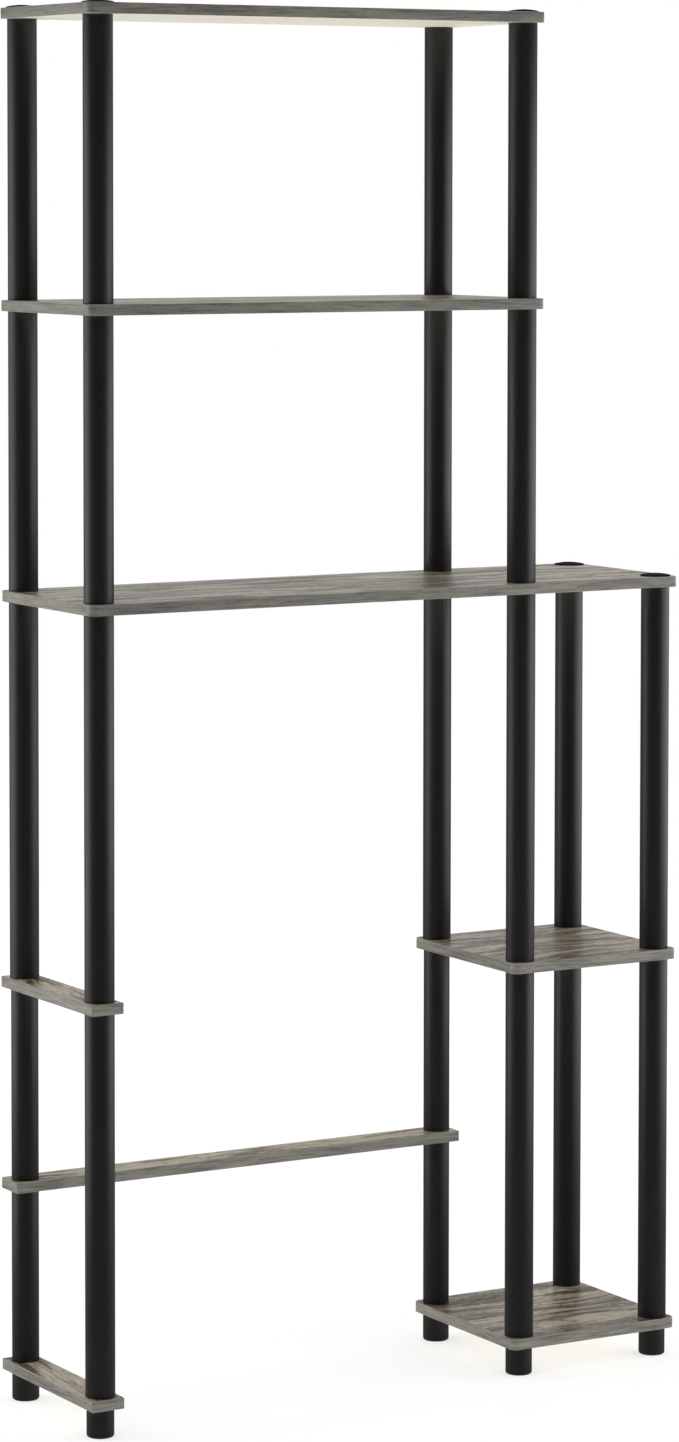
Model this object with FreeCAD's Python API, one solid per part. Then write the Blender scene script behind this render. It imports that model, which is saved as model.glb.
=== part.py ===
"""Over-the-toilet rack: round tubes screwed together through the corners of laminated boards.

Millimetres, +Z up, front towards -Y. The origin is on the floor, under the middle of the rack's outline.
Two tall bays stand over the toilet on four posts. Two more posts on the right carry a narrow tower.
Every tube has a stud plug in its lower end and a socket plug in its upper end. The stud goes down through
a hole in the board and into the socket of the piece below, so the boards are clamped between tube ends.
"""
import FreeCAD, Part
import os

Vector = FreeCAD.Vector
UP = Vector(0, 0, 1)
FULL_TURN = 360
QUARTER_TURN = FULL_TURN / 4

# Post spacing, between tube axes
toilet_bay_spacing = 576.0
tower_spacing = 196.0
depth_spacing = 194.0

# Tubes
tube_diameter = 35.0
slim_tube_diameter = 32.5
tube_wall = 1.8
slim_tube_wall = 1.6
shelf_tube_length = 331.5
long_tube_length = 449.0
below_brace_tube_length = 206.5

# Boards
board_thickness = 13.0
board_overhang = 21.0
strip_half_width = 20.75
shelf_corner_radius = 9.0
strip_corner_radius = 1.0

# Screw connection
stud_diameter = 18.0
stud_engagement = 16.0
stud_tip_chamfer = 1.5
stud_tip_gap = 3.0
board_hole_clearance = 0.5
socket_clearance = 0.25
plug_height = 24.0
plug_floor = 3.0
plug_fin_thickness = 2.0
socket_boss_wall = 2.2

# Feet and caps
foot_height = 34.2
foot_diameter = 32.5
foot_edge_radius = 3.0
cap_diameter = 37.6
cap_edge_height = 1.2
cap_dome_height = 3.4

# Sizes worked out from the ones above
stud_radius = stud_diameter / 2
stud_length = board_thickness + stud_engagement
board_hole_radius = stud_radius + board_hole_clearance
socket_radius = stud_radius + socket_clearance
socket_depth = stud_engagement + stud_tip_gap

# Places of the six post axes
left_x = -(toilet_bay_spacing + tower_spacing) / 2
middle_x = left_x + toilet_bay_spacing
right_x = middle_x + tower_spacing
back_y = depth_spacing / 2
front_y = -back_y
POSTS = {
    "left_back": (left_x, back_y),
    "left_front": (left_x, front_y),
    "middle_back": (middle_x, back_y),
    "middle_front": (middle_x, front_y),
    "right_back": (right_x, back_y),
    "right_front": (right_x, front_y),
}

# Height of each board's underside
LEVELS = {"low": foot_height}
LEVELS["brace"] = LEVELS["low"] + board_thickness + below_brace_tube_length
LEVELS["mid"] = LEVELS["low"] + board_thickness + long_tube_length
LEVELS["main"] = LEVELS["mid"] + board_thickness + long_tube_length
LEVELS["second"] = LEVELS["main"] + board_thickness + shelf_tube_length
LEVELS["top"] = LEVELS["second"] + board_thickness + shelf_tube_length

# Levels that each post passes through, from the floor up
LEVELS_OF_POST = {
    "left_back": ("low", "brace", "mid", "main", "second", "top"),
    "left_front": ("low", "mid", "main", "second", "top"),
    "middle_back": ("low", "brace", "mid", "main", "second", "top"),
    "middle_front": ("low", "mid", "main", "second", "top"),
    "right_back": ("low", "mid", "main"),
    "right_front": ("low", "mid", "main"),
}

# Each board: its level, and the posts that pass through it
LEFT_POSTS = ("left_back", "left_front")
TOWER_POSTS = ("middle_back", "middle_front", "right_back", "right_front")
BAY_POSTS = ("left_back", "left_front", "middle_back", "middle_front")
BOARDS = {
    "lower_side_strip": ("low", LEFT_POSTS),
    "low_side_shelf": ("low", TOWER_POSTS),
    "rear_brace": ("brace", ("left_back", "middle_back")),
    "upper_side_strip": ("mid", LEFT_POSTS),
    "mid_side_shelf": ("mid", TOWER_POSTS),
    "main_shelf": ("main", tuple(POSTS)),
    "second_shelf": ("second", BAY_POSTS),
    "top_shelf": ("top", BAY_POSTS),
}


def place(shape, post, height):
    """A copy of a shape made round the Z axis, moved to a post at this height."""
    x, y = POSTS[post]
    moved = shape.copy()
    moved.translate(Vector(x, y, height))
    return moved


def ring(outer_radius, inner_radius, bottom, top):
    """A straight hollow cylinder between two heights."""
    start = Vector(0, 0, bottom)
    outside = Part.makeCylinder(outer_radius, top - bottom, start)
    return outside.cut(Part.makeCylinder(inner_radius, top - bottom, start))


def turned(outline):
    """A solid turned about the Z axis from a closed outline of edges in the XZ plane."""
    face = Part.Face(Part.Wire(outline))
    return face.revolve(Vector(0, 0, 0), UP, FULL_TURN)


def straight_edges(points):
    """The straight edges that join these (radius, height) points in a row."""
    corners = [Vector(radius, 0, height) for radius, height in points]
    return [Part.LineSegment(a, b).toShape() for a, b in zip(corners, corners[1:])]


def board(posts):
    """A board round its posts, with its underside at height zero and a hole at each post."""
    xs = [POSTS[post][0] for post in posts]
    ys = [POSTS[post][1] for post in posts]
    one_wide = min(xs) == max(xs)
    one_deep = min(ys) == max(ys)
    side_reach = strip_half_width if one_wide else board_overhang
    end_reach = strip_half_width if one_deep else board_overhang
    corner_radius = strip_corner_radius if one_wide or one_deep else shelf_corner_radius
    width = max(xs) - min(xs) + 2 * side_reach
    depth = max(ys) - min(ys) + 2 * end_reach
    corner = Vector(min(xs) - side_reach, min(ys) - end_reach, 0)
    panel = Part.makeBox(width, depth, board_thickness, corner)
    upright = [edge for edge in panel.Edges if edge.BoundBox.ZLength > board_thickness / 2]
    panel = panel.makeFillet(corner_radius, upright)
    hole = Part.makeCylinder(board_hole_radius, board_thickness)
    return panel.cut(Part.makeCompound([place(hole, post, 0) for post in posts]))


def stud_profile():
    """The (radius, height) points of a stud below height zero, from the axis out."""
    return [
        (0, -stud_length),
        (stud_radius - stud_tip_chamfer, -stud_length),
        (stud_radius, stud_tip_chamfer - stud_length),
        (stud_radius, 0),
    ]


def fins(inner_radius, bottom, top):
    """Four upright fins in a cross, rounded at their tips to grip the inside of a tube."""
    height = top - bottom
    start = Vector(-inner_radius, -plug_fin_thickness / 2, bottom)
    plate = Part.makeBox(2 * inner_radius, plug_fin_thickness, height, start)
    across = plate.copy()
    across.rotate(Vector(0, 0, 0), UP, QUARTER_TURN)
    bore = Part.makeCylinder(inner_radius, height, Vector(0, 0, bottom))
    return plate.fuse(across).common(bore)


def stud_plug(inner_radius):
    """The plug of a tube's lower end: a disc flush with the tube's end, fins above it and a stud below it."""
    outline = stud_profile() + [
        (inner_radius, 0),
        (inner_radius, plug_floor),
        (0, plug_floor),
        (0, -stud_length),
    ]
    disc = turned(straight_edges(outline))
    return disc.fuse(fins(inner_radius, plug_floor, plug_height)).removeSplitter()


def socket_plug(inner_radius):
    """The plug of a tube's upper end: a ring flush with the tube's end, and a boss between fins below it."""
    boss_radius = socket_radius + socket_boss_wall
    outline = [
        (0, 0),
        (inner_radius, 0),
        (inner_radius, -plug_floor),
        (boss_radius, -plug_floor),
        (boss_radius, -socket_depth),
        (0, -socket_depth),
        (0, 0),
    ]
    body = turned(straight_edges(outline)).fuse(fins(inner_radius, -plug_height, -plug_floor))
    socket = Part.makeCylinder(socket_radius, plug_height, Vector(0, 0, -plug_height))
    return body.cut(socket).removeSplitter()


def foot():
    """A moulded foot: a short round post with a soft lower edge and a blind socket in its top."""
    radius = foot_diameter / 2
    body = Part.makeCylinder(radius, foot_height)
    rim = [edge for edge in body.Edges if edge.Curve.TypeId == "Part::GeomCircle"]
    lower_rim = min(rim, key=lambda edge: edge.CenterOfMass.z)
    body = body.makeFillet(foot_edge_radius, [lower_rim])
    bore_floor = foot_height - socket_depth
    return body.cut(Part.makeCylinder(socket_radius, socket_depth, Vector(0, 0, bore_floor)))


def cap():
    """A domed cap that lies on the top board and has its own stud."""
    radius = cap_diameter / 2
    half_way = radius / 2
    rise = cap_dome_height - cap_edge_height
    dome_radius = (radius * radius + rise * rise) / (2 * rise)
    drop = dome_radius - (dome_radius * dome_radius - half_way * half_way) ** 0.5
    sides = straight_edges(stud_profile() + [(radius, 0), (radius, cap_edge_height)])
    dome = Part.Arc(
        Vector(radius, 0, cap_edge_height),
        Vector(half_way, 0, cap_dome_height - drop),
        Vector(0, 0, cap_dome_height),
    )
    axis = straight_edges([(0, cap_dome_height), (0, -stud_length)])
    return turned(sides + [dome.toShape()] + axis)


def tubes():
    """Each post's tubes, numbered from the floor up, and the level under each of them."""
    found = []
    for post, levels in LEVELS_OF_POST.items():
        for number, (lower, upper) in enumerate(zip(levels, levels[1:]), start=1):
            slim = "brace" in (lower, upper)
            found.append((f"{post}_tube_{number}", post, lower, upper, slim))
    return found


def build():
    """Every node of the rack as a shape, by name."""
    nodes = {}
    for name, (level, posts) in BOARDS.items():
        shape = board(posts)
        shape.translate(Vector(0, 0, LEVELS[level]))
        nodes[name] = shape
    outer_radius = {False: tube_diameter / 2, True: slim_tube_diameter / 2}
    inner_radius = {
        False: outer_radius[False] - tube_wall,
        True: outer_radius[True] - slim_tube_wall,
    }
    studs = {level: [] for level in LEVELS}
    sockets = {level: [] for level in LEVELS}
    for name, post, lower, upper, slim in tubes():
        bottom = LEVELS[lower] + board_thickness
        top = LEVELS[upper]
        nodes[name] = place(ring(outer_radius[slim], inner_radius[slim], bottom, top), post, 0)
        studs[lower].append(place(stud_plug(inner_radius[slim]), post, bottom))
        sockets[upper].append(place(socket_plug(inner_radius[slim]), post, top))
    for level in LEVELS:
        if studs[level]:
            nodes[f"{level}_level_stud_plugs"] = Part.makeCompound(studs[level])
        if sockets[level]:
            nodes[f"{level}_level_socket_plugs"] = Part.makeCompound(sockets[level])
    for post, levels in LEVELS_OF_POST.items():
        nodes[f"{post}_foot"] = place(foot(), post, 0)
        nodes[f"{post}_cap"] = place(cap(), post, LEVELS[levels[-1]] + board_thickness)
    return nodes


os.makedirs("parts", exist_ok=True)
for node, shape in build().items():
    shape.exportStep(f"parts/{node}.step")
    print(node, len(shape.Solids), "solid(s)", round(shape.Volume), "cubic mm", shape.isValid())
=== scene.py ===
"""The looks of an over-the-toilet rack: laminated boards, black tubes, feet, caps and screw plugs.

Metres, +Z up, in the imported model's frame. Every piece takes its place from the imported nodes.
"""
import fnmatch
import math

import bmesh
import bpy
from mathutils import Euler, Matrix, Vector


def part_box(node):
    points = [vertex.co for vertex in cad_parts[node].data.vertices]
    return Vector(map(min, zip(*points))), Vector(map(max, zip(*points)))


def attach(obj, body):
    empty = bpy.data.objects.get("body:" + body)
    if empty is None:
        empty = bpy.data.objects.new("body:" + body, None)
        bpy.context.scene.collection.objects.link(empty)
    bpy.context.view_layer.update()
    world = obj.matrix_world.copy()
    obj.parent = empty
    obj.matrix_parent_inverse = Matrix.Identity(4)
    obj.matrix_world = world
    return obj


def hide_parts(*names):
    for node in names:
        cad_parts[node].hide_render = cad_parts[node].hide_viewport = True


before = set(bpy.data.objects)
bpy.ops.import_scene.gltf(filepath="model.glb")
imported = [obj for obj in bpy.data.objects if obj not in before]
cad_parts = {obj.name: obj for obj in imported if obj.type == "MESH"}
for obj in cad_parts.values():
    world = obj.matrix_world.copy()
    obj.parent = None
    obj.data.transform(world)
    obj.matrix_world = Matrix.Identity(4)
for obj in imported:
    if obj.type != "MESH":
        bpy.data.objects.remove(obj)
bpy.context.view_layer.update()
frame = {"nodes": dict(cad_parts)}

bl_info = {
    "name": "Over-the-toilet rack",
    "version": (1, 0, 0),
    "blender": (4, 5, 0),
    "location": "3D View > Sidebar > Rack",
    "description": "Finishes the boards, tubes, feet, caps and screw plugs of a bathroom rack",
    "category": "Object",
}

MM = 0.001
BODY = "root"

# The photograph's frame, and the focal length and optical centre found in it, in its pixels
PHOTO_WIDTH = 679
PHOTO_HEIGHT = 1442
PHOTO_FOCAL_LENGTH = 4674.5
PHOTO_CENTRE_ROW = 450
SENSOR_WIDTH = 36

# The finishes of a board, in the order of its material slots
PRINTED_FACE, EDGE_BAND, UNDERSIDE, HOLE_WALL = range(4)

# From board to board the sheet of print moves on by this many metres along the grain, and by this share of
# them across it
PRINT_STEP = 0.731
PRINT_SLANT = 0.37

# How far the print's lines wander, from side to side
PRINT_BEND = 60 * MM

# Radius of the circle that a turned section is swept round
SPINDLE = 1 * MM

# Points this near are made one, which closes a turned moulding on its axis
MERGE_DISTANCE = 0.01 * MM

# An edge that turns by more than this stays sharp
SHARP_ANGLE = math.radians(40)

# Index of refraction of plastics, melamine and paper foil
IOR = 1.5

WHITE = (1.0, 1.0, 1.0, 1.0)
FLOOR_SIDES = 96

# Where each light of the studio begins and is full: by the sine of its height above the horizon, or by the
# cosine of its turn from straight behind the rack
ABOVE_FLOOR = (-0.15, 0.1)
OVERHEAD = (0.45, 0.9)
BACK_WALLS = (-0.04, 0.62)
WHITE_SWEEP = (0.93, 0.985)

# Places of the sockets on a Mix node: its factor, then those of a mix of values and of a mix of colours
MIX_FACTOR = 0
VALUE_UNDER, VALUE_OVER, VALUE_MIXED = 2, 3, 0
COLOUR_UNDER, COLOUR_OVER, COLOUR_MIXED = 6, 7, 2


def linear(hex_colour):
    """The linear RGB of an sRGB colour written as six hex digits."""
    parts = [int(hex_colour[i:i + 2], 16) / 255 for i in (0, 2, 4)]
    return [p / 12.92 if p <= 0.04045 else ((p + 0.055) / 1.055) ** 2.4 for p in parts]


def length(name, description, default):
    """A length that a user can change, given here in millimetres."""
    return bpy.props.FloatProperty(
        name=name, description=description, default=default * MM, min=0.0, subtype="DISTANCE", precision=5
    )


def angle(name, description, default):
    """An angle that a user can change, given here in degrees."""
    return bpy.props.FloatProperty(
        name=name, description=description, default=math.radians(default), subtype="ANGLE"
    )


def colour(name, description, default):
    """A colour that a user can change, given here as sRGB hex."""
    return bpy.props.FloatVectorProperty(
        name=name, description=description, default=linear(default), min=0.0, max=1.0, size=3, subtype="COLOR"
    )


def share(name, description, default):
    """A share from none to all that a user can change."""
    return bpy.props.FloatProperty(
        name=name, description=description, default=default, min=0.0, max=1.0, subtype="FACTOR"
    )


def strength(name, description, default):
    """A light level that a user can change."""
    return bpy.props.FloatProperty(name=name, description=description, default=default, min=0.0)


def count(name, description, default):
    """A number of faces that a user can change."""
    return bpy.props.IntProperty(name=name, description=description, default=default, min=1)


class RackBoardSettings(bpy.types.PropertyGroup):
    """Sizes and colours of the laminated boards."""

    shelf_corner: length("Shelf corner radius", "Rounding of a shelf's upright corners", 9.0)
    strip_corner: length("Strip corner radius", "Rounding of a narrow strip's upright corners", 1.0)
    arris: length("Arris radius", "Rounding of the edge band's upper and lower edge", 0.7)
    hole_radius: length("Hole radius", "Radius of the holes that the studs pass through", 9.5)
    corner_steps: count("Corner steps", "Faces round each upright corner", 10)
    arris_steps: count("Arris steps", "Faces across each rounded arris", 3)
    hole_sides: count("Hole sides", "Faces round each hole", 32)
    oak_light: colour("Oak, light", "Lightest tone of the grey oak print", "A59B86")
    oak_middle: colour("Oak, middle", "Ground tone of the grey oak print", "756B57")
    oak_brown: colour("Oak, brown", "Brown tone of the streaks", "463722")
    oak_violet: colour("Oak, violet", "Cool violet grey of some flames", "584F4E")
    oak_dark: colour("Oak, dark", "Darkest tone, in the grain lines", "1D140A")
    oak_band: colour("Oak, edge band", "Ground tone of the edge band", "81827D")
    strip_pale: share("Strip paleness", "How much paler the print on the narrow strips is", 0.7)
    backing: colour("Backing", "Cream paper foil on the undersides", "EDE9D7")
    core: colour("Core", "Particle board inside the holes", "A98E68")


class RackTubeSettings(bpy.types.PropertyGroup):
    """Sizes and finish of the tubes."""

    end_edge: length("End edge radius", "Rounding of the tube's cut ends", 0.35)
    edge_steps: count("Edge steps", "Faces across each rounded edge", 3)
    sides: count("Sides", "Faces round a tube", 72)
    black: colour("Tube black", "Colour of the extruded tube", "141415")
    roughness: share("Tube roughness", "Roughness of the tube's satin skin", 0.445)


class RackMouldingSettings(bpy.types.PropertyGroup):
    """Sizes and finish of the feet, caps and plugs."""

    foot_edge: length("Foot edge radius", "Rounding of the foot's lower edge", 3.0)
    socket_radius: length("Socket radius", "Radius of the blind socket in the foot's top", 9.25)
    socket_depth: length("Socket depth", "Depth of the blind socket in the foot's top", 19.0)
    cap_rim: length("Cap rim height", "Height of the cap's upright rim", 1.2)
    cap_height: length("Cap height", "Height of the cap's dome above the board", 3.4)
    stud_radius: length("Stud radius", "Radius of the cap's stud", 9.0)
    stud_tip: length("Stud tip radius", "Rounding of the stud's tip", 1.5)
    soft_edge: length("Soft edge radius", "Rounding of the mouldings' other edges", 0.4)
    dome_steps: count("Dome steps", "Faces from the cap's rim to its middle", 8)
    edge_steps: count("Edge steps", "Faces across each rounded edge", 4)
    sides: count("Sides", "Faces round a moulding", 72)
    black: colour("Moulding black", "Colour of the moulded plastic", "161616")
    roughness: share("Moulding roughness", "Roughness of the feet and plugs", 0.52)
    cap_roughness: share("Cap roughness", "Roughness of the caps", 0.85)


class RackStageSettings(bpy.types.PropertyGroup):
    """Camera, floor and light."""

    camera_place: bpy.props.FloatVectorProperty(
        name="Camera place", description="Where the camera stands", size=3, subtype="TRANSLATION",
        default=(-2.852686, -4.863174, 1.454943)
    )
    camera_turn: angle("Camera turn", "How far the view is turned from straight ahead to the right", 30.3192)
    camera_dip: angle("Camera dip", "How far the view looks down", 3.2746)
    camera_roll: angle("Camera roll", "How far the view is rolled", 0.0583)
    floor_radius: length("Floor radius", "Radius of the round floor", 4000.0)
    floor_colour: colour("Floor", "Colour of the floor", "F5F4F3")
    shadow_start: length("Shadow start", "How far from the middle the floor's shadow begins to fade", 700.0)
    shadow_end: length("Shadow end", "How far from the middle the floor is plain white", 1800.0)
    shadow_share: share("Shadow share", "How much of the shadow the white floor keeps", 0.42)
    lit_floor: strength("Lit floor", "Brightness of the unshaded floor under the studio's light", 0.92)
    glow_level: strength("Glow level", "Extra light that the floor near the rack gives the rack", 0.55)
    glow_start: length("Glow start", "How far from the middle that extra light begins to fade", 450.0)
    glow_end: length("Glow end", "How far from the middle that extra light ends", 1000.0)
    front_level: strength("Front level", "Light from the dark side of the studio, behind the camera", 0.045)
    front_floor_level: strength("Front floor level", "Light from the floor on that dark side", 0.19)
    back_level: strength("Back level", "Light from the grey walls behind the rack", 0.265)
    sweep_level: strength("Sweep level", "Light from the white sweep straight behind the rack", 1.1)
    top_level: strength("Top level", "Light from the soft boxes overhead", 1.5)
    left_level: strength("Left box level", "Brightness of the tall soft box on the left", 1.78)
    left_turn: angle("Left box turn", "How far left of the view's direction that box stands", 91.3)
    left_distance: length("Left box distance", "How far from the rack's middle that box stands", 1630.0)
    left_width: length("Left box width", "Width of that box", 1410.0)
    left_top: length("Left box top", "Height of that box's upper edge", 1874.0)
    right_level: strength("Right box level", "Brightness of the tall soft box on the right", 2.04)
    right_turn: angle("Right box turn", "How far right of the view's direction that box stands", 82.5)
    right_distance: length("Right box distance", "How far from the rack's middle that box stands", 2118.0)
    right_width: length("Right box width", "Width of that box", 2820.0)
    right_top: length("Right box top", "Height of that box's upper edge", 1676.0)
    box_gap: length("Box gap", "Height of both soft boxes' lower edges above the floor", 25.0)


def add_node(tree, kind, inputs=None, **settings):
    """Adds a node with its own settings. Each input is a value, or the output socket that feeds it."""
    made = tree.nodes.new(kind)
    for name, value in settings.items():
        setattr(made, name, value)
    for socket, value in (inputs or {}).items():
        if isinstance(value, bpy.types.NodeSocket):
            tree.links.new(value, made.inputs[socket])
        else:
            made.inputs[socket].default_value = value
    return made


def rgba(rgb, factor=1.0):
    """A colour made lighter or darker by this factor, with full alpha, as colour sockets want it."""
    return (*(part * factor for part in rgb), 1.0)


def sum_of(tree, start, *parts):
    """The sum of a start and of several patterns, each a socket and its weight."""
    total = start
    for pattern, weight in parts:
        total = add_node(tree, "ShaderNodeMath", {0: pattern, 1: weight, 2: total},
                         operation="MULTIPLY_ADD").outputs[0]
    return total


def sum_round(tree, middle, *parts):
    """The sum of several patterns that each lie round a half, started so that it lies round this middle."""
    return sum_of(tree, middle - sum(weight for _, weight in parts) / 2, *parts)


def streaks(tree, place, along_mm, across_mm, detail, seed):
    """Noise drawn out along the grain, with features this long and this wide, from a place of its own."""
    scale = (1 / (along_mm * MM), 1 / (across_mm * MM), 1.0)
    stretched = add_node(tree, "ShaderNodeMapping", {
        "Vector": place, "Scale": scale, "Location": (seed, seed / 3, 0.0),
    })
    noise = add_node(tree, "ShaderNodeTexNoise", {
        "Vector": stretched.outputs[0], "Scale": 1.0, "Detail": detail,
    }, noise_dimensions="2D")
    return noise.outputs[0]


def lay_over(tree, under, over, pattern, start, end, amount):
    """One colour laid over another, softly as a pattern goes from start to end, up to this amount."""
    cover = add_node(tree, "ShaderNodeMapRange", {
        "Value": pattern, "From Min": start, "From Max": end, "To Max": amount,
    }, interpolation_type="SMOOTHSTEP")
    mixed = add_node(tree, "ShaderNodeMix", {
        MIX_FACTOR: cover.outputs[0], COLOUR_UNDER: under, COLOUR_OVER: over,
    }, data_type="RGBA")
    return mixed.outputs[COLOUR_MIXED]


def new_material(name):
    """An empty node material and its tree."""
    material = bpy.data.materials.new(name)
    material.use_nodes = True
    material.node_tree.nodes.clear()
    return material, material.node_tree


def end_material(tree, tone, roughness, relief, relief_strength, relief_depth, specular=0.5):
    """Gives a material its relief, its Principled shader and its output."""
    bump = add_node(tree, "ShaderNodeBump", {
        "Height": relief, "Strength": relief_strength, "Distance": relief_depth,
    })
    shader = add_node(tree, "ShaderNodeBsdfPrincipled", {
        "Base Color": tone, "Roughness": roughness, "IOR": IOR, "Specular IOR Level": specular,
        "Normal": bump.outputs[0],
    })
    add_node(tree, "ShaderNodeOutputMaterial", {"Surface": shader.outputs[0]})


def oak_print(tree, settings, ground, calm, pale):
    """The grey oak print: its colour, its fine relief and its smears.

    calm evens it out, from 0 to 1, and pale is how much more of the light tone a narrow strip has.
    """
    place = add_node(tree, "ShaderNodeUVMap", uv_map="print").outputs[0]
    drift = sum_round(tree, 0.0, (streaks(tree, place, 280, 90, 1.0, 3.0), PRINT_BEND))
    sideways = add_node(tree, "ShaderNodeCombineXYZ", {"Y": drift}).outputs[0]
    bent = add_node(tree, "ShaderNodeVectorMath", {0: sideways, 1: place}).outputs[0]
    # Lines that close on themselves, as in a board cut across a tree's rings: ten of them over the figure's
    # whole range, each rising to a half and falling again
    figure = streaks(tree, bent, 260, 40, 1.0, 11.0)
    rings = add_node(tree, "ShaderNodeMath", {0: sum_of(tree, 0.0, (figure, 10.0)), 1: 0.5},
                     operation="PINGPONG").outputs[0]
    # Bands, flames and smears: length, width, detail and seed, and the share of short strokes that frays them
    strokes = streaks(tree, bent, 30, 4.5, 2.5, 31.0)
    bands, flames, smears = (
        sum_of(tree, 0.0, (streaks(tree, bent, *form), 1.0 - frayed), (strokes, frayed))
        for *form, frayed in (
            (420, 36, 1.5, 23.0, 0.20),
            (240, 27, 2.0, 37.0, 0.24),
            (150, 15, 2.5, 41.0, 0.25),
        )
    )
    # Real fibres and pores are 0.1 to 0.3 mm wide, and are drawn as coarse as they need to be to show
    fibres = streaks(tree, place, 45, 2.4, 3.0, 51.0)
    flecks = streaks(tree, place, 10, 2.2, 2.0, 59.0)
    pores = streaks(tree, place, 9, 0.9, 2.0, 67.0)
    strip = add_node(tree, "ShaderNodeAttribute", attribute_name="strip").outputs["Fac"]
    light, brown, dark = rgba(settings.oak_light), rgba(settings.oak_brown), rgba(settings.oak_dark)
    violet = rgba(settings.oak_violet)
    even = 1.0 - calm
    fine = 1.0 - 0.4 * calm
    tone = rgba(ground)
    # Each layer, from the ground up: its colour and pattern, where that begins and is full, and its share
    for over, pattern, start, end, amount in (
        (light, bands, 0.50, 0.57, 0.80 * even),
        (brown, bands, 0.50, 0.43, 0.95 * even),
        (violet, flames, 0.505, 0.57, 0.85 * even),
        (light, flames, 0.475, 0.43, 0.70 * even),
        (light, strip, 0.0, 1.0, pale),
        (brown, smears, 0.51, 0.58, 0.90 * even),
        (dark, smears, 0.56, 0.65, 0.90 * even),
        (light, smears, 0.46, 0.40, 0.60 * even),
        (dark, rings, 0.38, 0.50, 0.65 * even),
        (light, fibres, 0.51, 0.66, 0.40 * fine),
        (dark, fibres, 0.49, 0.33, 0.45 * fine),
        (light, flecks, 0.54, 0.70, 0.40 * even),
        (dark, flecks, 0.46, 0.30, 0.55 * even),
        (dark, pores, 0.60, 0.72, 0.35 * fine),
    ):
        tone = lay_over(tree, tone, over, pattern, start, end, amount)
    return tone, sum_of(tree, 0.0, (fibres, 0.6), (pores, -0.4)), smears


def oak_laminate(name, settings):
    """Printed paper laminate pressed on the board: a satin skin with shallow grain, duller in dark smears."""
    material, tree = new_material(name)
    tone, grain, smears = oak_print(tree, settings, settings.oak_middle, calm=0.0, pale=settings.strip_pale)
    satin = sum_of(tree, 0.25, (grain, 0.15), (smears, 0.3))
    end_material(tree, tone, satin, grain, relief_strength=0.25, relief_depth=0.15 * MM, specular=0.14)
    return material


def oak_edge_band(name, settings):
    """PVC edge band printed with the same oak, calmer, with a painted highlight: lighter along both arrises.
    """
    material, tree = new_material(name)
    tone, grain, _ = oak_print(tree, settings, settings.oak_band, calm=0.86, pale=0.0)
    # Painted highlight: the light oak tone laid along both arrises, where the rounding catches the light
    arris_highlight = add_node(tree, "ShaderNodeAttribute", attribute_name="arris").outputs["Fac"]
    tone = lay_over(tree, tone, rgba(settings.oak_light), arris_highlight, 0.2, 1.0, 0.4)
    satin = sum_of(tree, 0.38, (grain, 0.12))
    end_material(tree, tone, satin, grain, relief_strength=0.2, relief_depth=0.1 * MM, specular=0.3)
    return material


def paper_backing(name, settings):
    """Plain cream paper foil on the undersides: nearly matt, with a faint mottle and short fibres."""
    material, tree = new_material(name)
    place = add_node(tree, "ShaderNodeUVMap", uv_map="print").outputs[0]
    mottle = streaks(tree, place, 6, 4, 3.0, 5.0)
    fibres = streaks(tree, place, 1.5, 0.8, 2.0, 9.0)
    tone = lay_over(tree, rgba(settings.backing), rgba(settings.backing, 0.86), mottle, 0.45, 0.75, 0.6)
    end_material(tree, tone, 0.6, fibres, relief_strength=0.15, relief_depth=0.05 * MM)
    return material


def particle_board(name, settings):
    """Raw particle board in the drilled holes: pressed chips of several browns, matt and rough."""
    material, tree = new_material(name)
    place = add_node(tree, "ShaderNodeTexCoord").outputs["Object"]
    chips = add_node(tree, "ShaderNodeTexVoronoi", {"Vector": place, "Scale": 1 / (1.4 * MM)})
    grey = add_node(tree, "ShaderNodeRGBToBW", {0: chips.outputs["Color"]}).outputs[0]
    tone = lay_over(tree, rgba(settings.core), rgba(settings.core, 0.55), grey, 0.3, 0.8, 1.0)
    end_material(tree, tone, 0.85, grey, relief_strength=0.6, relief_depth=0.3 * MM)
    return material


def extruded_tube(name, settings):
    """Black PVC tube: a satin skin with the faint lengthwise draw lines of its die."""
    material, tree = new_material(name)
    place = add_node(tree, "ShaderNodeTexCoord").outputs["Object"]
    # Real draw lines are a tenth as wide, and would not show
    drawn = add_node(tree, "ShaderNodeMapping", {
        "Vector": place, "Scale": (1 / (1.2 * MM), 1 / (1.2 * MM), 1 / (420 * MM)),
    })
    lines = add_node(tree, "ShaderNodeTexNoise", {
        "Vector": drawn.outputs[0], "Scale": 1.0, "Detail": 2.0,
    }).outputs[0]
    cloud = add_node(tree, "ShaderNodeTexNoise", {
        "Vector": place, "Scale": 1 / (60 * MM), "Detail": 2.0,
    }).outputs[0]
    tone = lay_over(tree, rgba(settings.black), rgba(settings.black, 1.5), cloud, 0.45, 0.75, 0.5)
    satin = sum_round(tree, settings.roughness, (cloud, 0.08), (lines, 0.06))
    end_material(tree, tone, satin, lines, relief_strength=0.12, relief_depth=0.04 * MM)
    return material


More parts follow.
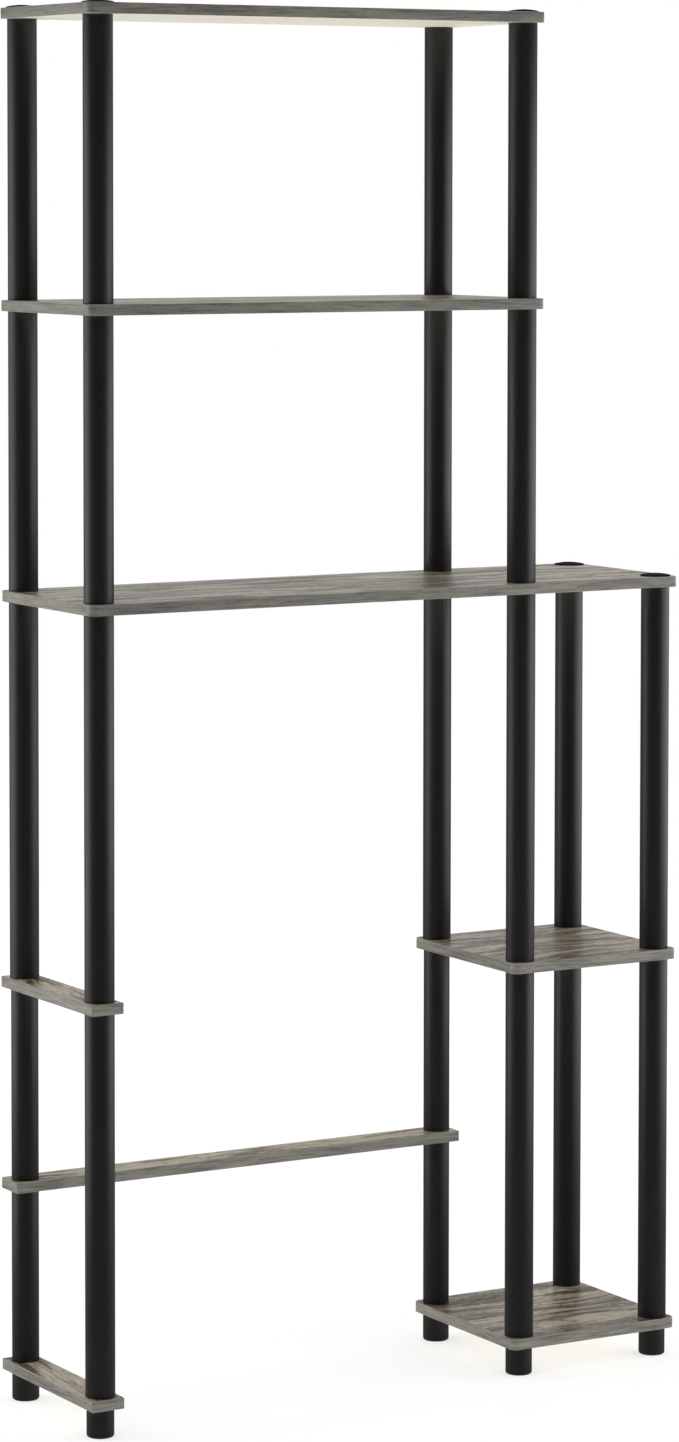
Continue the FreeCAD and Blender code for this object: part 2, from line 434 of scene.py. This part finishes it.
def spark_grained_black(name, settings, roughness, relief_depth, specular):
    """Black plastic with the fine spark-eroded grain of its mould, this rough, deep and glossy."""
    material, tree = new_material(name)
    place = add_node(tree, "ShaderNodeTexCoord").outputs["Object"]
    # The real grain is about 0.1 mm wide, and is drawn coarser so that it shows
    grain = add_node(tree, "ShaderNodeTexNoise", {
        "Vector": place, "Scale": 1 / (0.7 * MM), "Detail": 2.0,
    }).outputs[0]
    cloud = add_node(tree, "ShaderNodeTexNoise", {
        "Vector": place, "Scale": 1 / (25 * MM), "Detail": 2.0,
    }).outputs[0]
    tone = lay_over(tree, rgba(settings.black), rgba(settings.black, 1.4), cloud, 0.4, 0.8, 0.5)
    rough = sum_round(tree, roughness, (cloud, 0.08), (grain, 0.06))
    end_material(tree, tone, rough, grain, relief_strength=0.3, relief_depth=relief_depth, specular=specular)
    return material


def moulded_plastic(name, settings):
    """Black moulded polypropylene of the feet and plugs: soft satin with a fine grain."""
    return spark_grained_black(name, settings, settings.roughness, 0.05 * MM, 0.45)


def matt_plastic(name, settings):
    """Black polypropylene of the caps: matt, with a deeper grain that takes no sheen."""
    return spark_grained_black(name, settings, settings.cap_roughness, 0.1 * MM, 0.05)


def material_once(name, make, settings):
    """The material of this name, made if the file has none yet."""
    return bpy.data.materials.get(name) or make(name, settings)


def nodes_like(pattern):
    """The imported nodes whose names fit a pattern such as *_foot, in order."""
    found = sorted(fnmatch.filter(frame["nodes"], pattern))
    if not found:
        raise RuntimeError(f"the packed model has no node like {pattern}")
    return found


def axis_of(node):
    """The upright axis through the middle of a node's box, as its x and y."""
    low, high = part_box(node)
    return Vector(((low.x + high.x) / 2, (low.y + high.y) / 2))


def new_object(name, data):
    """An object of this mesh, camera or lamp, linked to the scene."""
    made = bpy.data.objects.new(name, data)
    bpy.context.scene.collection.objects.link(made)
    return made


def plain_mesh(name, shape):
    """The mesh of a finished bmesh, which is freed."""
    mesh = bpy.data.meshes.new(name)
    shape.to_mesh(mesh)
    shape.free()
    return mesh


def finish_piece(piece, node):
    """Puts a finished piece on the rack's body in place of a node."""
    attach(piece, BODY)
    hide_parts(node)


def rounded_outline(low, high, radius, steps):
    """The points of a rounded rectangle, each with its outward direction, anticlockwise."""
    reach = Vector((radius, radius))
    inner_low, inner_high = low + reach, high - reach
    centres = [
        inner_low, Vector((inner_high.x, inner_low.y)), inner_high, Vector((inner_low.x, inner_high.y)),
    ]
    found = []
    for corner, centre in enumerate(centres):
        for step in range(steps + 1):
            turn = math.pi + (corner + step / steps) * math.pi / 2
            outward = Vector((math.cos(turn), math.sin(turn)))
            found.append((centre + radius * outward, outward))
    return found


def edge_profile(bottom, top, arris, steps):
    """How far in and how high each ring of the edge band lies, from the underside up."""
    quarter = [math.pi / 2 * step / steps for step in range(steps + 1)]
    lower = [(arris * (1 - math.sin(t)), bottom + arris * (1 - math.cos(t))) for t in quarter]
    upper = [(arris * (1 - math.cos(t)), top - arris * (1 - math.sin(t))) for t in quarter]
    return lower + upper


def neighbours(ring):
    """Each point of a closed ring with the next one."""
    return zip(ring, ring[1:] + ring[:1])


def band_faces(shape, rings, outline, profile, start, print_layer, arris_layer):
    """The faces of the edge band, with the print running round the board and the arrises marked for a painted
    highlight.
    """
    along = [start]
    for (point, _), (following, _) in neighbours(outline):
        along.append(along[-1] + (following - point).length)
    for row, (ring, next_ring) in enumerate(zip(rings, rings[1:])):
        for column, ((a, b), (d, c)) in enumerate(zip(neighbours(ring), neighbours(next_ring))):
            face = shape.faces.new((a, b, c, d))
            face.smooth = True
            face.material_index = EDGE_BAND
            corners = ((column, row), (column + 1, row), (column + 1, row + 1), (column, row + 1))
            for loop, (across, up) in zip(face.loops, corners):
                loop[print_layer].uv = (along[across], profile[up][1])
    for ring, (inset, _) in zip(rings, profile):
        for vertex in ring:
            vertex[arris_layer] = float(inset > 0)


def drill_holes(shape, axes, bottom, top, settings):
    """The walls of holes round these axes. Gives the rings of points below and those above."""
    turns = [2 * math.pi * side / settings.hole_sides for side in range(settings.hole_sides)]
    below, above = [], []
    for axis in axes:
        under, over = (
            [
                shape.verts.new((axis.x + settings.hole_radius * math.cos(turn),
                                 axis.y + settings.hole_radius * math.sin(turn), height)) for turn in turns
            ]
            for height in (bottom, top)
        )
        for (a, b), (d, c) in zip(neighbours(under), neighbours(over)):
            wall = shape.faces.new((b, a, d, c))
            wall.smooth = True
            wall.material_index = HOLE_WALL
        below.append(under)
        above.append(over)
    return below, above


def flat_faces(shape, ring, holes, index, upward, print_layer, place):
    """One flat side of a board: a face with holes, cut into triangles."""
    edges = []
    for loop in [ring] + holes:
        edges += [shape.edges.get(pair) or shape.edges.new(pair) for pair in neighbours(loop)]
    made = bmesh.ops.triangle_fill(shape, edges=edges, use_beauty=True)["geom"]
    for face in (item for item in made if isinstance(item, bmesh.types.BMFace)):
        face.normal_update()
        if (face.normal.z > 0) != upward:
            face.normal_flip()
        face.material_index = index
        for loop in face.loops:
            loop[print_layer].uv = place(loop.vert.co)


def board_mesh(name, settings, axes, number):
    """A board round its posts: printed face, edge band, cream underside and drilled holes."""
    low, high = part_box(name)
    inside = [axis for axis in axes if low.x < axis.x < high.x and low.y < axis.y < high.y]
    # A narrow strip has its posts in one row, so that they hardly differ in x or in y
    one_wide, one_deep = (max(places) - min(places) < settings.hole_radius for places in zip(*inside))
    narrow = one_wide or one_deep
    radius = settings.strip_corner if narrow else settings.shelf_corner
    outline = rounded_outline(low.xy, high.xy, radius, settings.corner_steps)
    profile = edge_profile(low.z, high.z, settings.arris, settings.arris_steps)
    shape = bmesh.new()
    print_layer = shape.loops.layers.uv.new("print")
    arris_layer = shape.verts.layers.float.new("arris")
    strip_layer = shape.verts.layers.float.new("strip")
    rings = [
        [shape.verts.new((*(point - inset * outward), height)) for point, outward in outline]
        for inset, height in profile
    ]
    shift = number * PRINT_STEP

    def place(co):
        """Where on the sheet of print a point of the board lies."""
        along, across = (co.y, co.x) if one_wide else (co.x, co.y)
        return along + shift, across + shift * PRINT_SLANT

    band_faces(shape, rings, outline, profile, shift, print_layer, arris_layer)
    below, above = drill_holes(shape, inside, low.z, high.z, settings)
    flat_faces(shape, rings[-1], above, PRINTED_FACE, True, print_layer, place)
    flat_faces(shape, rings[0], below, UNDERSIDE, False, print_layer, place)
    for vertex in shape.verts:
        vertex[strip_layer] = float(narrow)
    return plain_mesh(name + "_board", shape)


class RACK_OT_boards(bpy.types.Operator):
    """Build the laminated boards in place of their nodes"""

    bl_idname = "rack.boards"
    bl_label = "Build boards"

    def execute(self, context):
        settings = context.scene.rack_boards
        finishes = [
            material_once("grey_oak_paper_laminate", oak_laminate, settings),
            material_once("grey_oak_pvc_edge_band", oak_edge_band, settings),
            material_once("cream_paper_foil", paper_backing, settings),
            material_once("drilled_particle_board", particle_board, settings),
        ]
        axes = [axis_of(foot) for foot in nodes_like("*_foot")]
        boards = nodes_like("*_shelf") + nodes_like("*_strip") + nodes_like("*_brace")
        for number, name in enumerate(boards):
            piece = new_object(name + "_board", board_mesh(name, settings, axes, number))
            for finish in finishes:
                piece.data.materials.append(finish)
            finish_piece(piece, name)
        return {"FINISHED"}


def geometry_tree(name, inputs):
    """An empty geometry tree, and the sockets of its named inputs, each given with its kind."""
    tree = bpy.data.node_groups.new(name, "GeometryNodeTree")
    for label, kind in inputs.items():
        tree.interface.new_socket(label, in_out="INPUT", socket_type="NodeSocket" + kind)
    tree.interface.new_socket("Geometry", in_out="OUTPUT", socket_type="NodeSocketGeometry")
    return tree, add_node(tree, "NodeGroupInput").outputs


def end_tree(tree, geometry, material):
    """Ends a geometry tree with real geometry in its material, shaded smooth except over sharp edges."""
    smooth = add_node(tree, "GeometryNodeSetShadeSmooth", {"Geometry": geometry})
    turn = add_node(tree, "GeometryNodeInputMeshEdgeAngle").outputs["Unsigned Angle"]
    sharp = add_node(tree, "FunctionNodeCompare", {0: turn, 1: SHARP_ANGLE}, operation="GREATER_THAN")
    split = add_node(tree, "GeometryNodeSetShadeSmooth", {
        "Geometry": smooth.outputs[0], "Selection": sharp.outputs[0], "Shade Smooth": False,
    }, domain="EDGE")
    real = add_node(tree, "GeometryNodeRealizeInstances", {"Geometry": split.outputs[0]})
    dressed = add_node(tree, "GeometryNodeSetMaterial", {"Geometry": real.outputs[0], "Material": material})
    add_node(tree, "NodeGroupOutput", {"Geometry": dressed.outputs[0]})


def grow(name, tree, values):
    """The plain mesh object that a geometry tree gives for these input values."""
    piece = new_object(name, bpy.data.meshes.new(name))
    modifier = piece.modifiers.new("Form", "NODES")
    modifier.node_group = tree
    for item in tree.interface.items_tree:
        if item.name in values:
            modifier[item.identifier] = values[item.name]
    depsgraph = bpy.context.evaluated_depsgraph_get()
    mesh = bpy.data.meshes.new_from_object(piece.evaluated_get(depsgraph), depsgraph=depsgraph)
    piece.modifiers.remove(modifier)
    piece.data = mesh
    if not mesh.polygons:
        raise RuntimeError(f"{name} came out empty")
    return piece


def tube_tree():
    """A straight hollow tube: a wall section with softened corners, swept round the tube's axis."""
    tree, given = geometry_tree("Extruded tube", {
        "Axis": "Vector", "Bottom": "Float", "Top": "Float", "Outer radius": "Float", "Inner radius": "Float",
        "Edge radius": "Float", "Edge steps": "Int", "Sides": "Int", "Material": "Material",
    })
    wall = sum_of(tree, given["Outer radius"], (given["Inner radius"], -1.0))
    tall = sum_of(tree, given["Top"], (given["Bottom"], -1.0))
    middle_radius = sum_of(tree, given["Outer radius"], (wall, -0.5))
    middle_height = sum_of(tree, given["Bottom"], (tall, 0.5))
    section = add_node(tree, "GeometryNodeCurvePrimitiveQuadrilateral", {"Width": wall, "Height": tall})
    soft = add_node(tree, "GeometryNodeFilletCurve", {
        "Curve": section.outputs[0], "Radius": given["Edge radius"], "Count": given["Edge steps"],
    }, mode="POLY")
    circle = add_node(tree, "GeometryNodeCurvePrimitiveCircle", {
        "Resolution": given["Sides"], "Radius": middle_radius,
    })
    swept = add_node(tree, "GeometryNodeCurveToMesh", {
        "Curve": circle.outputs[0], "Profile Curve": soft.outputs[0],
    })
    lift = add_node(tree, "ShaderNodeCombineXYZ", {"Z": middle_height}).outputs[0]
    place = add_node(tree, "ShaderNodeVectorMath", {0: given["Axis"], 1: lift}).outputs[0]
    placed = add_node(tree, "GeometryNodeTransform", {"Geometry": swept.outputs[0], "Translation": place})
    end_tree(tree, placed.outputs[0], given["Material"])
    return tree


def radii(node):
    """The smallest and largest distance of a node's points from its upright axis."""
    axis = axis_of(node)
    distances = [(vertex.co.xy - axis).length for vertex in frame["nodes"][node].data.vertices]
    return min(distances), max(distances)


class RACK_OT_tubes(bpy.types.Operator):
    """Build every tube in place of its node"""

    bl_idname = "rack.tubes"
    bl_label = "Build tubes"

    def execute(self, context):
        settings = context.scene.rack_tubes
        finish = material_once("black_extruded_pvc", extruded_tube, settings)
        tree = tube_tree()
        for name in nodes_like("*_tube_*"):
            low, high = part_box(name)
            inner, outer = radii(name)
            piece = grow(name + "_skin", tree, {
                "Axis": (*axis_of(name), 0.0), "Bottom": low.z, "Top": high.z, "Outer radius": outer,
                "Inner radius": inner, "Edge radius": settings.end_edge, "Edge steps": settings.edge_steps,
                "Sides": settings.sides, "Material": finish,
            })
            finish_piece(piece, name)
        return {"FINISHED"}


def turned_tree():
    """A moulding turned round an upright axis from its section, whose corners carry their own rounding."""
    tree, given = geometry_tree("Turned moulding", {
        "Section": "Object", "Place": "Vector", "Edge steps": "Int", "Sides": "Int", "Material": "Material",
    })
    drawn = add_node(tree, "GeometryNodeObjectInfo", {"Object": given["Section"]})
    # Swept round a circle, a section's +Y turns to -Z and its middle lies on the circle
    stood = add_node(tree, "GeometryNodeTransform", {
        "Geometry": drawn.outputs["Geometry"], "Rotation": (math.pi, 0.0, 0.0),
        "Translation": (-SPINDLE, 0.0, 0.0),
    })
    line = add_node(tree, "GeometryNodeMeshToCurve", {"Mesh": stood.outputs[0]})
    rounding = add_node(tree, "GeometryNodeInputNamedAttribute", {"Name": "rounding"}, data_type="FLOAT")
    soft = add_node(tree, "GeometryNodeFilletCurve", {
        "Curve": line.outputs[0], "Radius": rounding.outputs[0], "Count": given["Edge steps"],
    }, mode="POLY")
    circle = add_node(tree, "GeometryNodeCurvePrimitiveCircle", {
        "Resolution": given["Sides"], "Radius": SPINDLE,
    })
    swept = add_node(tree, "GeometryNodeCurveToMesh", {
        "Curve": circle.outputs[0], "Profile Curve": soft.outputs[0],
    })
    closed = add_node(tree, "GeometryNodeMergeByDistance", {
        "Geometry": swept.outputs[0], "Distance": MERGE_DISTANCE,
    })
    # A section drawn from the base up sweeps with its faces inwards
    outward = add_node(tree, "GeometryNodeFlipFaces", {"Mesh": closed.outputs[0]})
    placed = add_node(tree, "GeometryNodeTransform", {
        "Geometry": outward.outputs[0], "Translation": given["Place"],
    })
    end_tree(tree, placed.outputs[0], given["Material"])
    return tree


def foot_section(settings, radius, height):
    """A foot's corners as (radius, height, rounding), from the middle of its base to the socket's floor."""
    floor = height - settings.socket_depth
    return [
        (0.0, 0.0, 0.0),
        (radius, 0.0, settings.foot_edge),
        (radius, height, settings.soft_edge),
        (settings.socket_radius, height, settings.soft_edge),
        (settings.socket_radius, floor, settings.soft_edge),
        (0.0, floor, 0.0),
    ]


def cap_section(settings, radius, stud_length):
    """A cap's corners as (radius, height, rounding), from the stud's tip to the top of the dome."""
    rise = settings.cap_height - settings.cap_rim
    dome_radius = (radius * radius + rise * rise) / (2 * rise)
    corners = [
        (0.0, -stud_length, 0.0),
        (settings.stud_radius, -stud_length, settings.stud_tip),
        (settings.stud_radius, 0.0, 0.0),
        (radius, 0.0, settings.soft_edge),
        (radius, settings.cap_rim, settings.soft_edge),
    ]
    for step in range(1, settings.dome_steps + 1):
        out = radius * (1 - step / settings.dome_steps)
        drop = dome_radius - math.sqrt(dome_radius * dome_radius - out * out)
        corners.append((out, settings.cap_height - drop, 0.0))
    return corners


def turn_moulding(tree, node, corners, height, settings, finish):
    """Turns a section on a node's axis, with its height zero at this height, in place of the node."""
    mesh = bpy.data.meshes.new("section")
    lines = [(i, i + 1) for i in range(len(corners) - 1)]
    mesh.from_pydata([(radius, rise, 0.0) for radius, rise, _ in corners], lines, [])
    roundings = mesh.attributes.new("rounding", "FLOAT", "POINT")
    roundings.data.foreach_set("value", [rounding for _, _, rounding in corners])
    section = new_object("section", mesh)
    piece = grow(node + "_skin", tree, {
        "Section": section, "Place": (*axis_of(node), height), "Edge steps": settings.edge_steps,
        "Sides": settings.sides, "Material": finish,
    })
    bpy.data.objects.remove(section)
    finish_piece(piece, node)


class RACK_OT_mouldings(bpy.types.Operator):
    """Build the feet and caps in place of their nodes, and finish the screw plugs"""

    bl_idname = "rack.mouldings"
    bl_label = "Build mouldings"

    def execute(self, context):
        settings = context.scene.rack_mouldings
        finish = material_once("black_moulded_polypropylene", moulded_plastic, settings)
        matt_finish = material_once("black_matt_polypropylene", matt_plastic, settings)
        tree = turned_tree()
        for foot in nodes_like("*_foot"):
            low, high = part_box(foot)
            corners = foot_section(settings, (high.x - low.x) / 2, high.z - low.z)
            turn_moulding(tree, foot, corners, low.z, settings, finish)
        for cap in nodes_like("*_cap"):
            low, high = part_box(cap)
            board_top = high.z - settings.cap_height
            corners = cap_section(settings, (high.x - low.x) / 2, board_top - low.z)
            turn_moulding(tree, cap, corners, board_top, settings, matt_finish)
        for plugs in nodes_like("*_plugs"):
            for slot in frame["nodes"][plugs].material_slots:
                slot.material = finish
        return {"FINISHED"}


def compass(turn):
    """The level direction at this turn to the right of the rack's straight ahead."""
    return (math.sin(turn), math.cos(turn), 0.0)


def set_camera(scene, settings):
    """The photograph's camera: its place, direction, focal length and optical centre."""
    long_side = max(PHOTO_WIDTH, PHOTO_HEIGHT)
    data = bpy.data.cameras.new("Photo camera")
    data.sensor_width = SENSOR_WIDTH
    data.lens = PHOTO_FOCAL_LENGTH / long_side * SENSOR_WIDTH
    data.shift_y = (PHOTO_CENTRE_ROW - PHOTO_HEIGHT / 2) / long_side
    camera = new_object("Photo camera", data)
    turned = Euler((math.pi / 2 - settings.camera_dip, 0.0, -settings.camera_turn)).to_matrix()
    rolled = turned @ Matrix.Rotation(settings.camera_roll, 3, "Z")
    camera.matrix_world = Matrix.Translation(settings.camera_place) @ rolled.to_4x4()
    scene.camera = camera


def white_floor(name, settings):
    """White painted studio floor: it keeps the rack's soft shadow, fades to white, and lights the rack."""
    material, tree = new_material(name)
    place = add_node(tree, "ShaderNodeTexCoord").outputs["Object"]
    away = add_node(tree, "ShaderNodeVectorMath", {0: place}, operation="LENGTH").outputs["Value"]
    kept = settings.shadow_share
    # The share of plain white, and the glow: where each begins and is full, and how much it is there
    white_share, glow_near = (
        add_node(tree, "ShaderNodeMapRange", {
            "Value": away, "From Min": start, "From Max": end, "To Min": least, "To Max": most,
        }, interpolation_type="SMOOTHSTEP").outputs[0]
        for start, end, least, most in (
            (settings.shadow_start, settings.shadow_end, 1.0 - kept, 1.0),
            (settings.glow_end, settings.glow_start, 0.0, settings.glow_level),
        )
    )
    seen = add_node(tree, "ShaderNodeLightPath").outputs["Is Camera Ray"]
    unseen = sum_of(tree, 1.0, (seen, -1.0))
    glow_level = add_node(tree, "ShaderNodeMath", {0: glow_near, 1: unseen}, operation="MULTIPLY").outputs[0]
    glow = add_node(tree, "ShaderNodeEmission", {"Color": WHITE, "Strength": glow_level})
    paint = add_node(tree, "ShaderNodeBsdfDiffuse", {"Color": rgba(settings.floor_colour)})
    lit = add_node(tree, "ShaderNodeAddShader", {0: paint.outputs[0], 1: glow.outputs[0]})
    # Out of the shadow, the lit paint and the plain white over it come to 1, which is white
    white_level = (1.0 - kept * settings.lit_floor) / (1.0 - kept)
    white = add_node(tree, "ShaderNodeEmission", {"Color": WHITE, "Strength": white_level})
    factor = add_node(tree, "ShaderNodeMath", {0: white_share, 1: seen}, operation="MULTIPLY").outputs[0]
    mixed = add_node(tree, "ShaderNodeMixShader", {0: factor, 1: lit.outputs[0], 2: white.outputs[0]})
    add_node(tree, "ShaderNodeOutputMaterial", {"Surface": mixed.outputs[0]})
    return material


def lay_floor(settings):
    """A round floor under the feet."""
    shape = bmesh.new()
    bmesh.ops.create_circle(shape, cap_ends=True, segments=FLOOR_SIDES, radius=settings.floor_radius)
    floor = new_object("floor", plain_mesh("floor", shape))
    floor.data.materials.append(material_once("white_studio_floor", white_floor, settings))
    floor.visible_glossy = False


def stand_soft_box(name, turn, distance, width, bottom, top, level):
    """A tall soft box of this brightness at this turn from the rack, facing it."""
    lamp = bpy.data.lights.new(name, "AREA")
    lamp.shape = "RECTANGLE"
    lamp.size = width
    lamp.size_y = top - bottom
    # An area lamp is as bright as its power over pi times its area
    lamp.energy = math.pi * lamp.size * lamp.size_y * level
    way = Vector(compass(turn))
    face = way.to_track_quat("Z", "Y").to_matrix().to_4x4()
    middle = distance * way + Vector((0.0, 0.0, (bottom + top) / 2))
    new_object(name, lamp).matrix_world = Matrix.Translation(middle) @ face


def light_studio(scene, settings):
    """White sweep behind the rack, soft light overhead, a dark front, and a tall soft box on each side."""
    world = bpy.data.worlds.new("Studio")
    world.use_nodes = True
    tree = world.node_tree
    tree.nodes.clear()
    direction = add_node(tree, "ShaderNodeTexCoord").outputs["Generated"]
    height = add_node(tree, "ShaderNodeSeparateXYZ", {0: direction}).outputs["Z"]
    flat = add_node(tree, "ShaderNodeVectorMath", {0: direction, 1: (1.0, 1.0, 0.0)}, operation="MULTIPLY")
    bearing = add_node(tree, "ShaderNodeVectorMath", {0: flat.outputs[0]}, operation="NORMALIZE").outputs[0]
    facing = add_node(tree, "ShaderNodeVectorMath", {0: bearing, 1: compass(settings.camera_turn)},
                      operation="DOT_PRODUCT").outputs["Value"]
    seen = add_node(tree, "ShaderNodeLightPath").outputs["Is Camera Ray"]
    light = settings.front_floor_level
    # Each light takes over from those before it. The last is the plain white that the camera sees
    for pattern, (start, end), level in (
        (height, ABOVE_FLOOR, settings.front_level),
        (facing, BACK_WALLS, settings.back_level),
        (facing, WHITE_SWEEP, settings.sweep_level),
        (height, OVERHEAD, settings.top_level),
        (seen, (0.0, 1.0), 1.0),
    ):
        cover = add_node(tree, "ShaderNodeMapRange", {"Value": pattern, "From Min": start, "From Max": end},
                         interpolation_type="SMOOTHSTEP")
        light = add_node(tree, "ShaderNodeMix", {
            MIX_FACTOR: cover.outputs[0], VALUE_UNDER: light, VALUE_OVER: level,
        }).outputs[VALUE_MIXED]
    glow = add_node(tree, "ShaderNodeBackground", {"Color": WHITE, "Strength": light})
    add_node(tree, "ShaderNodeOutputWorld", {"Surface": glow.outputs[0]})
    scene.world = world
    stand_soft_box(
        "Left soft box", settings.camera_turn - settings.left_turn, settings.left_distance,
        settings.left_width, settings.box_gap, settings.left_top, settings.left_level,
    )
    stand_soft_box(
        "Right soft box", settings.camera_turn + settings.right_turn, settings.right_distance,
        settings.right_width, settings.box_gap, settings.right_top, settings.right_level,
    )


class RACK_OT_stage(bpy.types.Operator):
    """Set up the camera, the pale floor and the soft studio light"""

    bl_idname = "rack.stage"
    bl_label = "Set the stage"

    def execute(self, context):
        settings = context.scene.rack_stage
        set_camera(context.scene, settings)
        lay_floor(settings)
        light_studio(context.scene, settings)
        context.scene.view_settings.view_transform = "Standard"
        return {"FINISHED"}


class RACK_PT_sidebar(bpy.types.Panel):
    """The rack's sizes, colours and steps"""

    bl_idname = "RACK_PT_sidebar"
    bl_label = "Over-the-toilet rack"
    bl_space_type = "VIEW_3D"
    bl_region_type = "UI"
    bl_category = "Rack"

    def draw(self, context):
        for group, settings_class, operator in GROUPS:
            box = self.layout.box()
            for name in settings_class.__annotations__:
                box.prop(getattr(context.scene, group), name)
            box.operator(operator.bl_idname)


GROUPS = (
    ("rack_boards", RackBoardSettings, RACK_OT_boards),
    ("rack_tubes", RackTubeSettings, RACK_OT_tubes),
    ("rack_mouldings", RackMouldingSettings, RACK_OT_mouldings),
    ("rack_stage", RackStageSettings, RACK_OT_stage),
)


def register():
    """Makes the settings, operators and panel known to Blender."""
    for group, settings_class, operator in GROUPS:
        bpy.utils.register_class(settings_class)
        setattr(bpy.types.Scene, group, bpy.props.PointerProperty(type=settings_class))
        bpy.utils.register_class(operator)
    bpy.utils.register_class(RACK_PT_sidebar)


def unregister():
    """Takes them out again."""
    bpy.utils.unregister_class(RACK_PT_sidebar)
    for group, settings_class, operator in reversed(GROUPS):
        bpy.utils.unregister_class(operator)
        delattr(bpy.types.Scene, group)
        bpy.utils.unregister_class(settings_class)


def main():
    """Builds the whole rack and its stage."""
    register()
    bpy.ops.rack.boards()
    bpy.ops.rack.tubes()
    bpy.ops.rack.mouldings()
    bpy.ops.rack.stage()


if __name__ == "__main__":
    main()
